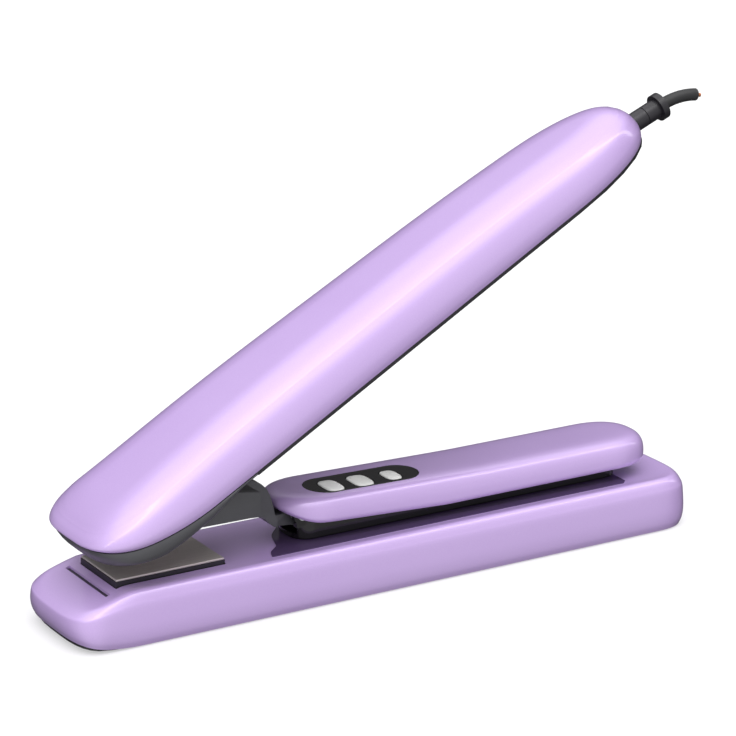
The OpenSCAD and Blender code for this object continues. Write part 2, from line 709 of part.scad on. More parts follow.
module cord_sleeve() color(black) difference() {
    union() {
        along_cord(sleeve_s) cylinder(r = sleeve_r, h = sleeve_end - sleeve_s);
        along_cord(sleeve_end - eps) cylinder(r = collar_r, h = collar_t);
    }
    along_cord(sleeve_s + 4) cylinder(r = cord_r, h = 40);
    along_cord(arm_len + 5.5) difference() {
        cylinder(r = 6, h = 0.4);
        translate([0, 0, -1]) cylinder(r = sleeve_r - 0.3, h = 3);
    }
}

// Start of the cord's bend; children are drawn round the bend's centre
module at_bend() along_cord(sleeve_end + collar_t) rotate([0, -90, 0]) translate([0, 0, -bend_r])
    rotate([90, 0, 0]) rotate([0, 0, 90 - bend]) children();

core_y = 1.05;
core_out = 1.6;

module cord() color(rubber) difference() {
    union() {
        along_cord(sleeve_s + 4.1) cylinder(r = cord_r - 0.1, h = sleeve_end + collar_t - sleeve_s - 3.4);
        at_bend() rotate_extrude(angle = bend) translate([bend_r, 0]) circle(r = cord_r);
    }
    for (y = [-core_y, core_y]) at_bend() translate([bend_r, eps, y]) rotate([90, 0, 0])
        cylinder(r = 0.8, h = 2);
    for (y = [-core_y, core_y]) at_bend() translate([bend_r, 1.4, y]) rotate([90, 0, 0])
        cylinder(r = 0.8, h = 2);
}

module cord_cores() color(copper) for (y = [-core_y, core_y])
    at_bend() translate([bend_r, 1.4, y]) rotate([90, 0, 0]) cylinder(r = 0.8, h = 1.4 + core_out);

base_shell();
base_chassis();
bottom_cover();
rubber_feet();
cover_screws();
nose_vent();
lower_plate();
lower_plate_holder();
lower_heater();
lower_sensor();
plate_tray();
float_pads();
deck_inlay();
handle_frame();
handle_cover();
control_panel();
button_power();
button_up();
button_down();
button_board();
tact_switches();
handle_screws();
power_board();
board_parts();
board_standoffs();
base_harness();
swing_pin();
swing_springs();
hinge_link();
link_bushes();
tilt_pin();
upper_shell();
upper_liner();
upper_chin();
upper_plate();
upper_plate_holder();
upper_heater();
thermal_fuse();
leaf_spring();
tilt_springs();
chin_screws();
upper_harness();
swivel_housing();
slip_contacts();
cord_sleeve();
cord();
cord_cores();
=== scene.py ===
"""Visual model of a flat iron: smooth shells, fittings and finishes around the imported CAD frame."""
import json
import math

import bmesh
import bpy
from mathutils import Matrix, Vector


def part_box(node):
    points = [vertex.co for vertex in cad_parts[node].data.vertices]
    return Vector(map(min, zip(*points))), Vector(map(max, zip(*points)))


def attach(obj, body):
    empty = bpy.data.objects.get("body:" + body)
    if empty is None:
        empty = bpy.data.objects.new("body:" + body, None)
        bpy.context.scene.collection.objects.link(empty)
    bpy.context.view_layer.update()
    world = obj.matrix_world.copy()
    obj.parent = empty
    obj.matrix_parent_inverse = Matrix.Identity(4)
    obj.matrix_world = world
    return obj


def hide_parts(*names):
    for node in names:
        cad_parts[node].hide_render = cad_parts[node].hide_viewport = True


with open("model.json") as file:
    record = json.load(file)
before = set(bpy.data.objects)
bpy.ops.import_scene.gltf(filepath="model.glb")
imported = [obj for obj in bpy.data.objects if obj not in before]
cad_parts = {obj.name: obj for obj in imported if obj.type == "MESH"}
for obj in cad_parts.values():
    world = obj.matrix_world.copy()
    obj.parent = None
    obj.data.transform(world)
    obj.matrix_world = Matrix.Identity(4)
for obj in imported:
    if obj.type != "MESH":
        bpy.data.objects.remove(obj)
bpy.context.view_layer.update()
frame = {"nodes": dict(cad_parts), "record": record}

MM = 0.001

# ---- places, all in millimetres until on_base or on_arm turns them to metres ----

record = frame["record"]
joints = {j["name"]: j for j in record["behaviour"]["joints"]}
BASE_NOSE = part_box("base_shell")[0].x / MM
BASE_LEN = (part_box("base_shell")[1].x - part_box("base_shell")[0].x) / MM
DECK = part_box("deck_inlay")[0].z / MM
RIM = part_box("base_shell")[0].z / MM

ARM_LEN = 282
CORD_N = 2.1
arm_normal = Vector(joints["upper_plate_float"]["axis"])
arm_along = Vector((arm_normal.z, 0, -arm_normal.x))
arm_origin = (Vector(joints["cord_swivel"]["pos_m"]) - arm_along * ARM_LEN * MM
              - arm_normal * CORD_N * MM)
tilt_pin = Vector(joints["arm_tilt"]["pos_m"])
swing_pin = Vector(joints["link_swing"]["pos_m"])


def on_base(x, y, z):
    """x from the base nose, z from the ground."""
    return Vector(((x + BASE_NOSE) * MM, y * MM, z * MM))


def on_deck(x, y, h):
    """x from the base nose, h from the deck."""
    return on_base(x, y, h + DECK)


def on_arm(s, y, n):
    """s along the upper arm from its nose, n above its seam."""
    return arm_origin + arm_along * s * MM + arm_normal * n * MM + Vector((0, y * MM, 0))


# ---- outlines and profiles ----

# [length, nose width, tail width, nose depth, nose power, tail depth, tail power]
BASE_SHAPE = (BASE_LEN, 52.5, 52.5, 15, 3.25, 22, 3.4)
HANDLE_SHAPE = (171.5, 34.6, 34.6, 21, 2.5, 22, 2.4)
ARM_SHAPE = (ARM_LEN, 59.5, 45.1, 26.9, 3.17, 47.4, 2.26)
HANDLE_START = 94.5
HANDLE_RIM = 6
HANDLE_TOP = 18.3
ARM_CROWN = 21.4

# the deck falls and the rim lifts at the nose of the base
NOSE_FALL = 8.1
FALL_RUN = 24.7
FALL_CURVE = 1.25
NOSE_LIFT = 4.3
LIFT_RUN = 26.9
# the seam of the upper arm lifts at the nose; its crown sinks at the nose and at the tail
SEAM_LIFT = 11.8
SEAM_RUN = 49.2
NOSE_SINK = 0.24
NOSE_SINK_RUN = 108.8
TAIL_SINK = 0.22
TAIL_SINK_RUN = 111.5

# steps of an outline round each end and along its middle
END_STEPS = 22
MIDDLE_STEPS = 60


def half_width(shape, s):
    length, nose_w, tail_w = shape[:3]
    return (nose_w + (tail_w - nose_w) * s / length) / 2


def side(shape, inset):
    """One side of a round-ended outline from nose tip to tail tip, moved inwards."""
    length, _, _, nose, nose_power, tail, tail_power = shape
    nose, tail = nose - inset, tail - inset
    turns = [math.pi / 2 * (i / END_STEPS) ** 0.8 for i in range(END_STEPS + 1)]
    points = []
    for t in turns:
        s = inset + nose * (1 - max(0, math.cos(t)) ** (2 / nose_power))
        points.append((s, (half_width(shape, s) - inset) * math.sin(t) ** (2 / nose_power)))
    start, end = inset + nose, length - inset - tail
    for i in range(1, MIDDLE_STEPS):
        s = start + (end - start) * i / MIDDLE_STEPS
        points.append((s, half_width(shape, s) - inset))
    for t in reversed(turns):
        s = length - inset - tail * (1 - max(0, math.cos(t)) ** (2 / tail_power))
        points.append((s, (half_width(shape, s) - inset) * math.sin(t) ** (2 / tail_power)))
    return points


def loop(half):
    """A half outline and its mirror image as one closed loop; both tips lie on the middle line."""
    return [(s, -y) for s, y in half] + [(s, y) for s, y in reversed(half[1:-1])]


def smooth(points, steps=6):
    """A Catmull-Rom line through the points."""
    ends = [points[0], *points, points[-1]]
    line = []
    for a, b, c, d in zip(ends, ends[1:], ends[2:], ends[3:]):
        for k in range(steps):
            t = k / steps
            line.append(tuple(
                0.5 * (2 * q + (r - p) * t + (2 * p - 5 * q + 4 * r - v) * t * t
                       + (3 * q - p - 3 * r + v) * t ** 3)
                for p, q, r, v in zip(a, b, c, d)))
    return line + [tuple(points[-1])]


def base_height(s, z):
    """Towards the tip of the base the deck falls and the rim rises."""
    share = (z - RIM) / (DECK - RIM)
    fall = NOSE_FALL * max(0, 1 - s / FALL_RUN) ** FALL_CURVE
    rise = NOSE_LIFT * max(0, 1 - s / LIFT_RUN) ** 2
    return z - fall * share * share + rise * (1 - share)


def handle_height(s, z):
    """The top of the handle slopes down from its tip, and its lower edge rises there."""
    share = (z - HANDLE_RIM) / (HANDLE_TOP - HANDLE_RIM)
    slope = 1.9 * max(0, 1 - s / 90) - 1.1
    rise = 3.6 * max(0, 1 - s / 70) + 4 * max(0, 1 - s / 14) ** 1.6
    return z + slope * share + rise * (1 - share)


def arm_height(s, n):
    """The seam of the upper arm rises at the nose, and its crown falls at both ends."""
    rise = SEAM_LIFT * max(0, 1 - s / SEAM_RUN) ** 2
    if n <= 0:
        return n + rise
    sink = TAIL_SINK * max(0, (s - ARM_LEN + TAIL_SINK_RUN) / TAIL_SINK_RUN) ** 2
    sink += NOSE_SINK * max(0, 1 - s / NOSE_SINK_RUN) ** 2
    return n * (1 - sink) + rise * max(0, 1 - n / ARM_CROWN)


# ---- mesh helpers ----

def to_object(name, verts, faces):
    mesh = bpy.data.meshes.new(name)
    mesh.from_pydata([tuple(v) for v in verts], [], faces)
    work = bmesh.new()
    work.from_mesh(mesh)
    bmesh.ops.remove_doubles(work, verts=work.verts, dist=1e-7)
    bmesh.ops.recalc_face_normals(work, faces=work.faces)
    work.to_mesh(mesh)
    work.free()
    obj = bpy.data.objects.new(name, mesh)
    bpy.context.scene.collection.objects.link(obj)
    return obj


def walls(rings):
    """Corners of equal loops and the faces between one loop and the next."""
    count = len(rings[0])
    verts = [v for ring in rings for v in ring]
    faces = []
    for k in range(len(rings) - 1):
        for i in range(count):
            j = (i + 1) % count
            faces.append((k * count + i, k * count + j, (k + 1) * count + j, (k + 1) * count + i))
    return verts, faces


def loft(name, rings):
    """Closed solid through equal loops; the first and last are closed by strips across."""
    count = len(rings[0])
    verts, faces = walls(rings)
    for start in (0, (len(rings) - 1) * count):
        for i in range(count // 2):
            a, b = i, i + 1
            c, d = (count - b) % count, (count - a) % count
            corners = []
            for index in (a, b, c, d):
                if start + index not in corners:
                    corners.append(start + index)
            if len(corners) > 2:
                faces.append(tuple(corners))
    return to_object(name, verts, faces)


def skin(name, shape, profile, height, place):
    """Closed shell whose section is profile, a list of (inset, height), round the outline shape."""
    rings = []
    for inset, z in profile:
        rings.append([place(s, y, height(s, z)) for s, y in loop(side(shape, inset))])
    return loft(name, rings)


def prism(name, outline, low, high, place):
    """Solid over a flat outline between two heights."""
    bottom = [place(x, y, low) for x, y in outline]
    top = [place(x, y, high) for x, y in outline]
    count = len(outline)
    faces = [tuple(reversed(range(count))), tuple(range(count, 2 * count))]
    faces += [(i, (i + 1) % count, count + (i + 1) % count, count + i) for i in range(count)]
    return to_object(name, bottom + top, faces)


def brick(name, low, high, place):
    outline = [(low[0], low[1]), (high[0], low[1]), (high[0], high[1]), (low[0], high[1])]
    return prism(name, outline, low[2], high[2], place)


def slab(name, outline, y0, y1, place):
    """Plate with its outline in the side view."""
    return prism(name, outline, y0, y1, lambda x, z, y: place(x, y, z))


def round_bar(name, centre, radius, y0, y1, steps=48):
    """Bar along Y about a point in the side view, given in metres."""
    outline = []
    for i in range(steps):
        t = 2 * math.pi * i / steps
        outline.append((radius * math.cos(t), radius * math.sin(t)))
    return prism(name, outline, y0, y1,
                 lambda x, z, y: centre + Vector((x * MM, y * MM, z * MM)))


def bake(obj):
    """Turns the object's modifiers into its mesh."""
    graph = bpy.context.evaluated_depsgraph_get()
    mesh = bpy.data.meshes.new_from_object(obj.evaluated_get(graph))
    obj.modifiers.clear()
    obj.data = mesh


def combine(obj, others, operation):
    for other in others:
        cut = obj.modifiers.new("combine", "BOOLEAN")
        cut.operation = operation
        cut.solver = "EXACT"
        cut.object = other
        bake(obj)
        bpy.data.objects.remove(other)
    return obj


def carve(obj, *cutters):
    return combine(obj, cutters, "DIFFERENCE")


def join(obj, *others):
    return combine(obj, others, "UNION")


def ease(obj, width, segments=3, limit=35):
    """Rounds the sharp edges by width."""
    bevel = obj.modifiers.new("ease", "BEVEL")
    bevel.width = width * MM
    bevel.segments = segments
    bevel.limit_method = "ANGLE"
    bevel.angle_limit = math.radians(limit)
    bake(obj)
    return obj


def shade(obj, sharp=32):
    """Smooth shading with a hard edge wherever faces meet at more than sharp degrees."""
    mesh = obj.data
    mesh.shade_smooth()
    work = bmesh.new()
    work.from_mesh(mesh)
    for edge in work.edges:
        edge.smooth = len(edge.link_faces) != 2 or edge.calc_face_angle(0) < math.radians(sharp)
    work.to_mesh(mesh)
    work.free()


def piece(obj, body, slot, *stands_for, sharp=32):
    """Shades a mesh, gives it the finish of its slot and puts it on its body."""
    shade(obj, sharp)
    obj.data.materials.clear()
    obj.data.materials.append(FINISH[slot])
    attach(obj, body)
    if stands_for:
        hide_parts(*stands_for)
    return obj


# ---- materials ----

class Nodes:
    """Short way to write a node material."""

    def __init__(self, name):
        self.material = bpy.data.materials.new(name)
        self.material.use_nodes = True
        self.tree = self.material.node_tree
        self.shader = self.tree.nodes["Principled BSDF"]
        self.coords = self.tree.nodes.new("ShaderNodeTexCoord").outputs["Object"]

    def add(self, kind, inputs=None, **settings):
        node = self.tree.nodes.new("ShaderNode" + kind)
        for key, value in settings.items():
            setattr(node, key, value)
        for key, value in (inputs or {}).items():
            self.link(value, node.inputs[key])
        return node

    def link(self, value, socket):
        if isinstance(value, bpy.types.NodeSocket):
            self.tree.links.new(value, socket)
        else:
            socket.default_value = value

    def noise(self, scale, detail=3, stretch=(1, 1, 1)):
        mapping = self.add("Mapping", {"Vector": self.coords, "Scale": stretch})
        inputs = {"Vector": mapping.outputs[0], "Scale": scale, "Detail": detail}
        return self.add("TexNoise", inputs).outputs["Fac"]

    def spread(self, value, low, high):
        """value from 0.3..0.7 to low..high."""
        return self.add("MapRange", {"Value": value, "From Min": 0.3, "From Max": 0.7,
                                     "To Min": low, "To Max": high}).outputs[0]

    def mix(self, share, a, b):
        node = self.add("Mix", data_type="RGBA")
        self.link(share, node.inputs[0])
        self.link(a, node.inputs[6])
        self.link(b, node.inputs[7])
        return node.outputs[2]

    def bump(self, height, strength, distance):
        return self.add("Bump", {"Height": height, "Strength": strength, "Distance": distance}).outputs[0]

    def set(self, **values):
        for key, value in values.items():
            name = "Specular IOR Level" if key == "specular" else key.replace("_", " ").title()
            self.link(value, self.shader.inputs[name])
        return self.material


def rgb(r, g, b):
    """Display colour 0..255 to linear."""
    return tuple(((c / 255 + 0.055) / 1.055) ** 2.4 if c > 10 else c / 3294 for c in (r, g, b)) + (1,)


def pearl(name):
    """Pearl lacquer: a lavender that turns paler face on, fine flakes and a clear coat."""
    m = Nodes(name)
    facing = m.add("LayerWeight", {"Blend": 0.35}).outputs["Facing"]
    body = m.mix(facing, rgb(199, 169, 227), rgb(172, 142, 204))
    flakes = m.noise(2600, 2)
    tone = m.mix(m.spread(m.noise(14, 2), 0, 0.12), body, rgb(214, 192, 236))
    colour = m.mix(m.spread(flakes, 0, 0.1), tone, rgb(236, 224, 250))
    return m.set(base_color=colour, metallic=0.12,
                 roughness=m.spread(m.noise(60, 4), 0.3, 0.36),
                 coat_weight=0.7, coat_roughness=m.spread(m.noise(25, 3), 0.06, 0.1),
                 normal=m.bump(flakes, 0.03, 0.00005))


def moulded(name, colour, rough, grain=1800, depth=0.15):
    """Moulded plastic with a fine grain."""
    m = Nodes(name)
    light = tuple(min(1, c * 1.35 + 0.004) for c in colour[:3]) + (1,)
    cloudy = m.noise(40, 4)
    return m.set(base_color=m.mix(m.spread(cloudy, 0, 1), colour, light),
                 roughness=m.spread(m.noise(90, 5), rough - 0.05, rough + 0.06),
                 normal=m.bump(m.noise(grain, 3), depth, 0.00006))


def glossy(name, colour, rough=0.08):
    """Polished plastic with a faint film of handling."""
    m = Nodes(name)
    film = m.noise(35, 6)
    light = tuple(min(1, c * 1.2 + 0.002) for c in colour[:3]) + (1,)
    return m.set(base_color=m.mix(m.spread(m.noise(12, 2), 0, 1), colour, light),
                 roughness=m.spread(film, rough, rough + 0.07), specular=0.4, coat_weight=0.1,
                 coat_roughness=0.04, normal=m.bump(m.noise(120, 2), 0.02, 0.0001))


def metal(name, colour, rough, stretch=(1, 1, 1), scale=300, depth=0.06):
    """Metal with the marks of its brushing or turning."""
    m = Nodes(name)
    marks = m.noise(scale, 6, stretch)
    dark = tuple(c * 0.82 for c in colour[:3]) + (1,)
    return m.set(base_color=m.mix(m.spread(marks, 0, 1), dark, colour), metallic=1.0,
                 roughness=m.spread(marks, rough - 0.05, rough + 0.08),
                 normal=m.bump(marks, depth, 0.00005))


def satin(name):
    """Coated plate metal: a pale satin with faint marks across it."""
    m = Nodes(name)
    marks = m.noise(1500, 5, (0.03, 1, 1))
    colour = m.mix(m.spread(marks, 0, 1), rgb(196, 187, 186), rgb(208, 200, 198))
    return m.set(base_color=colour, metallic=0.45, roughness=m.spread(marks, 0.34, 0.42),
                 normal=m.bump(marks, 0.02, 0.00004))


def circuit(name):
    """Green solder mask with lighter copper runs under it."""
    m = Nodes(name)
    runs = m.add("TexBrick", {"Vector": m.coords, "Scale": 160.0, "Mortar Size": 0.012,
                              "Color1": (0, 0, 0, 1), "Color2": (0.2, 0.2, 0.2, 1),
                              "Mortar": (1, 1, 1, 1)}).outputs["Color"]
    return m.set(base_color=m.mix(runs, (0.012, 0.10, 0.045, 1), (0.05, 0.24, 0.1, 1)),
                 roughness=m.spread(m.noise(70, 3), 0.3, 0.4), normal=m.bump(runs, 0.2, 0.0001))


FINISH = {
    "lavender_shell": pearl("pearl_lavender"),
    "black_plastic": moulded("black_moulding", rgb(30, 28, 34), 0.34),
    "gloss_black": glossy("black_gloss", rgb(20, 18, 22)),
    "grey_plastic": moulded("dark_grey_moulding", rgb(70, 70, 74), 0.4),
    # painted shade: this dark aubergine gloss colours the deck's shade and the keel's reflection under
    # the handle
    "aubergine_gloss": glossy("aubergine_gloss", rgb(74, 58, 92), 0.07),
    "titanium": satin("satin_titanium"),
    "silver_button": moulded("pearl_white_button", rgb(226, 226, 224), 0.28, 900, 0.05),
    "steel": metal("turned_steel", rgb(190, 192, 196), 0.26),
    "bronze": metal("sintered_bronze", rgb(196, 150, 84), 0.4, scale=900, depth=0.2),
    "rubber": moulded("black_rubber", rgb(34, 34, 36), 0.55, 1200, 0.25),
    "ceramic": moulded("white_ceramic", rgb(226, 222, 208), 0.5, 1500, 0.2),
    "board": circuit("green_board"),
    "component": moulded("black_component", rgb(52, 52, 56), 0.5),
    "copper": metal("drawn_copper", rgb(214, 138, 96), 0.3, (1, 1, 0.1), 600),
}

# every CAD node takes the finish of its slot; the ones replaced below are hidden
for part in record["subparts"]:
    node = frame["nodes"].get(part["node"])
    if node is not None:
        for holder in node.material_slots:
            holder.material = FINISH[part["material_slot"]]

# ---- base arm ----

WELL = dict(x0=21.0, x1=67.4, half=15.4)
CAP_INSET = 14
SLOT = dict(x0=15.9, x1=17.8, half=17.2)
PLATE = dict(start=21.5, length=45.2, width=29.4, top=2.5, thickness=0.9)


def base_shell():
    """Deck and side walls in one skin, with the plate's well and the nose slot."""
    rings = []
    for inset, depth in ((CAP_INSET, 2.4), (4.2, 2.4), (3.4, 3.6)):
        rings.append([on_base(s, y, base_height(s, DECK) - depth)
                      for s, y in loop(side(BASE_SHAPE, inset))])
    profile = [(2.6, DECK - 11.4), (2.6, RIM + 5), (3, RIM)]
    profile += smooth([(1.4, RIM), (0.45, RIM + 2.6), (0.05, RIM + 6), (0.1, RIM + 10),
                     (0.55, DECK - 5.2), (1.3, DECK - 3), (2.3, DECK - 1.3), (3.4, DECK - 0.25),
                     (4.6, DECK + 0.14), (6.0, DECK + 0.1), (7.6, DECK)])
    profile += [(CAP_INSET, DECK)]
    for inset, z in profile:
        rings.append([on_base(s, y, base_height(s, z)) for s, y in loop(side(BASE_SHAPE, inset))])
    shell = loft("base_shell_skin", rings)
    well = brick("well", (WELL["x0"], -WELL["half"], -8), (WELL["x1"], WELL["half"], 4), on_deck)
    slot = brick("slot", (SLOT["x0"], -SLOT["half"], -9), (SLOT["x1"], SLOT["half"], 4), on_deck)
    carve(shell, well, slot)
    return piece(shell, "base_arm", "lavender_shell", "base_shell")


def vent_strip():
    """Dark strip that fills the slot in the nose, a little under the surface."""
    bite = 0.1
    middle = 16.8
    top = base_height(middle, DECK) - DECK - 0.8
    strip = brick("nose_vent_strip", (SLOT["x0"] - bite, -SLOT["half"] - bite, -6.8),
                  (SLOT["x1"] + bite, SLOT["half"] + bite, top), on_deck)
    return piece(strip, "base_arm", "black_plastic", "nose_vent")


def deck_inlay():
    """Glossy dark band under the handle, with a hollow front end: a sheet of painted shade and painted
    reflection where the lavender deck lies in the handle's shade and mirrors the black keel.
    """
    x1, half = 250, 18.3
    # the hollow front end traces the painted reflection of the keel's front and the link
    front = smooth([(86.4, -half), (85.8, -17.6), (87.6, -13.4), (92.2, -9), (93.8, -4.9), (96.4, 1.9),
                    (101.7, 8.2), (110, half)], 5)
    outline = list(reversed(front)) + [(x1 - 2, -half), (x1, -half + 2), (x1, half - 2), (x1 - 2, half)]
    # painted shade and reflection laid flat on the deck, not a part of its own
    inlay = prism("painted_shade_band", outline, 0.0, 0.3, on_deck)
    return piece(inlay, "base_arm", "aubergine_gloss", "deck_inlay")


def lower_plate():
    """Satin plate with softly rounded edges."""
    half = PLATE["width"] / 2
    low = (PLATE["start"], -half, PLATE["top"] - PLATE["thickness"])
    high = (PLATE["start"] + PLATE["length"], half, PLATE["top"])
    sheet = ease(brick("lower_plate_sheet", low, high, on_deck), 0.28, 4)
    return piece(sheet, "lower_plate_set", "titanium", "lower_plate")


# ---- handle ----

HANDLE_OUTER = smooth([(0.8, HANDLE_RIM), (0.1, HANDLE_RIM + 1.6), (0, HANDLE_RIM + 4),
                       (0.2, 12.2), (0.75, 14.2), (1.9, 16.1), (3.7, 17.4), (6.3, 18.05), (10, 18.27),
                       (15.5, HANDLE_TOP)])


def handle_top(x, y):
    """Height of the handle's crown over the deck at a point."""
    s = x - HANDLE_START
    nose, power, half = HANDLE_SHAPE[3], HANDLE_SHAPE[4], HANDLE_SHAPE[1] / 2
    low, high = 0.0, 15.4
    for _ in range(30):
        inset = (low + high) / 2
        lead = max(0, (nose - s) / (nose - inset)) ** power
        out = lead + (abs(y) / (half - inset)) ** power
        if (s >= nose and abs(y) > half - inset) or (s < nose and out > 1):
            high = inset
        else:
            low = inset
    z = HANDLE_TOP
    for (d0, z0), (d1, z1) in zip(HANDLE_OUTER, HANDLE_OUTER[1:]):
        if d0 <= low <= d1 and z0 > 12:
            z = z0 + (z1 - z0) * (low - d0) / (d1 - d0)
    return handle_height(s, z)


PANEL = dict(x0=108.5, x1=158.5, half=8.5, y=-3.0)
BUTTONS = [("button_power", "power_key", 119.1, 7.8, 12), ("button_up", "up_key", 132.1, 8.4, 12),
           ("button_down", "down_key", 145.9, 6.6, 10)]
BUTTON_Y = -4.7


def stadium(inset, steps=28):
    """Outline of the control panel, moved inwards."""
    radius = PANEL["half"] - inset
    left, right = PANEL["x0"] + PANEL["half"], PANEL["x1"] - PANEL["half"]
    half = []
    for i in range(steps + 1):
        t = math.pi / 2 * i / steps
        half.append((left - radius * math.cos(t), radius * math.sin(t)))
    for i in range(1, 16):
        half.append((left + (right - left) * i / 16, radius))
    for i in range(steps, -1, -1):
        t = math.pi / 2 * i / steps
        half.append((right + radius * math.cos(t), radius * math.sin(t)))
    return [(x, y + PANEL["y"]) for x, y in loop(half)]


def button_ring(length, width, share, steps=40):
    ring = []
    for i in range(steps):
        t = 2 * math.pi * i / steps
        c, s = math.cos(t), math.sin(t)
        ring.append((length / 2 * share * math.copysign(abs(c) ** 0.62, c),
                     width / 2 * share * math.copysign(abs(s) ** 0.62, s)))
    return ring


def handle_cover():
    inner = [(15.5, 16.1), (6, 15.1), (3, 12.3), (2.1, 9), (2.4, HANDLE_RIM)]
    cover = skin("handle_cover_skin", HANDLE_SHAPE, inner + HANDLE_OUTER, handle_height,
                 lambda s, y, z: on_deck(s + HANDLE_START, y, z))
    carve(cover, prism("recess", stadium(-0.12), 12, 24, on_deck))
    return piece(cover, "base_arm", "lavender_shell", "handle_cover")


def control_panel():
    rings = []
    for inset, rise in ((1.5, -1.0), (0, -1.0), (0, -0.05), (0.12, 0.06), (0.4, 0.1), (0.9, 0.04),
                        (1.6, -0.04), (3.2, -0.06), (5.2, -0.06), (8.2, -0.06)):
        ring = []
        for x, y in stadium(inset):
            ring.append(on_deck(x, y, handle_top(x, y) + rise))
        rings.append(ring)
    panel = loft("control_panel_glass", rings)
    for _, _, x, length, width in BUTTONS:
        ring = [(x + u, BUTTON_Y + v) for u, v in button_ring(length + 0.7, width + 0.7, 1)]
        carve(panel, prism("hole", ring, 10, 24, on_deck))
    return piece(panel, "base_arm", "gloss_black", "control_panel")


def buttons():
    for node, body, x, length, width in BUTTONS:
        rings = []
        for share, rise in ((1, None), (1, -0.3), (0.99, -0.02), (0.95, 0.16), (0.87, 0.27),
                            (0.6, 0.36), (0.3, 0.4), (0.06, 0.41)):
            ring = []
            for u, v in button_ring(length, width, share):
                top = handle_top(x + u, BUTTON_Y + v)
                ring.append(on_deck(x + u, BUTTON_Y + v, 16.6 if rise is None else top + rise))
            rings.append(ring)
        key = loft(node + "_cap", rings)
        piece(key, body, "silver_button", node)


def keel():
    """Gloss black foot under the handle, forked for the link."""
    x0, length, half = 101, 151, 10.2
    shape = (length, 2 * half, 2 * half, 9, 2.6, 9, 2.6)
    profile = [(8, 0.3), *smooth([(0.5, 0.3), (0.05, 0.7), (0, 1.6), (0.1, 5), (0.4, 12)], 4), (8, 12)]
    foot = skin("keel_foot", shape, profile, lambda s, z: z, lambda s, y, z: on_deck(s + x0, y, z))
    bosses = round_bar("bosses", swing_pin, 3.8, -9.4, 9.4)
    cheeks = brick("cheeks", (101.2, -9.4, 5.8), (111, 9.4, 9), on_deck)
    join(foot, cheeks, bosses)
    carve(foot, brick("fork", (96, -7, 2.5), (112.5, 7, 24), on_deck),
          round_bar("bore", swing_pin, 2.0, -20, 20))
    return piece(foot, "base_arm", "gloss_black", "handle_frame")


# ---- link ----

def link():
    """Wishbone link: hub, humped bar, cross piece and two cheeks."""
    swing_x, swing_h = swing_pin.x / MM - BASE_NOSE, swing_pin.z / MM - DECK
    tilt_x, tilt_h = tilt_pin.x / MM - BASE_NOSE, tilt_pin.z / MM - DECK
    near, far = swing_x - 24, swing_x - 31.5
    hump = smooth([(far + 1, 27.5), (swing_x - 22, 27.5), (swing_x - 18.5, 26.7), (swing_x - 15.4, 24.4),
                   (swing_x - 12.9, 20.6), (swing_x - 11.3, 15.4), (swing_x - 10.4, 11.6),
                   (swing_x - 8.6, 10.8), (swing_x - 5.2, 11)], 5)
    belly = smooth([(swing_x - 1, swing_h - 4.8), (swing_x - 7, 6.2), (swing_x - 11.5, 7.4),
                    (swing_x - 15.5, 11.4), (swing_x - 20, 12.4), (far, 12.6)], 5)
    outline = hump + [(swing_x - 1, swing_h + 4.8), (swing_x + 3.5, swing_h + 3.6),
                      (swing_x + 3.5, swing_h - 3.6)] + belly + [(far, 27.0)]
    bar = slab("hinge_link_bar", outline, -6.4, 6.4, on_deck)
    cheek = [(tilt_x - 3, tilt_h - 3.2), (tilt_x + 0.5, tilt_h - 4.7), (tilt_x + 8, tilt_h - 9.6),
             (far + 2, 18), (near, 18.4), (near, 27.5), (tilt_x + 20, tilt_h + 2.5),
             (tilt_x + 2.5, tilt_h + 4.2), (tilt_x - 3, tilt_h + 3.2)]
    wings = []
    for hand in (-1, 1):
        y0, y1 = sorted((hand * 16.5, hand * 19.5))
        wings.append(slab("wing", cheek, y0, y1, on_deck))
        wings.append(round_bar("boss", tilt_pin, 5, y0 - 0.3, y1 + 0.3))
    cross = brick("cross", (far + 0.1, -19.3, 18.2), (near - 0.1, 19.3, 27.4), on_deck)
    hub = round_bar("hub", swing_pin, 5.4, -4.5, 4.5)
    join(bar, hub, cross, *wings)
    sides = [brick("side_gap", (swing_x - 9.5, 4.5, 0), (swing_x + 10, 15, 30), on_deck),
             brick("side_gap", (swing_x - 9.5, -15, 0), (swing_x + 10, -4.5, 30), on_deck)]
    carve(bar, *sides, round_bar("bush_bore", swing_pin, 3, -10, 10),
          round_bar("pin_bore", tilt_pin, 2, -30, 30))
    ease(bar, 0.5, 3, 40)
    return piece(bar, "link", "grey_plastic", "hinge_link", sharp=28)


# ---- upper arm ----

ARM_SIDE = [(0.7, 0), (0.15, 2.2), (0, 5), (0.35, 7.6), (1, 10.2), (2, 12.9), (3.2, 14.9), (5, 17)]
ARM_TOP = [(5, 17), (8, 19.2), (12, 20.65), (16.5, 21.3), (21, ARM_CROWN)]
CHIN_LEN = 68
CHIN_DEPTH = 7.4
REVEAL = 1.66
SEAM_GAP = 0.5


def upper_shell():
    inner = [(21, 19.2), (12, 18.4), (7, 16.2), (4.6, 13.2), (3.2, 9.5), (2.6, 5), (2.6, 0)]
    shell = skin("upper_shell_skin", ARM_SHAPE, inner + smooth(ARM_SIDE) + smooth(ARM_TOP)[1:],
                 arm_height, on_arm)
    return piece(shell, "upper_arm", "lavender_shell", "upper_shell")


def chin_depth(s):
    return CHIN_DEPTH - (CHIN_DEPTH - REVEAL) * min(1, max(0, (s - 22) / 40))


def chin_loop(inset):
    """Outline of the chin: the arm's round nose, cut straight behind it."""
    half = [p for p in side(ARM_SHAPE, inset) if p[0] < CHIN_LEN - 1]
    half = half[:END_STEPS + 1]
    for i in range(1, 13):
        s = half[END_STEPS][0] + (CHIN_LEN - half[END_STEPS][0]) * i / 12
        half.append((s, half_width(ARM_SHAPE, s) - inset))
    return [(s, -y) for s, y in half] + [(s, y) for s, y in reversed(half[1:])]


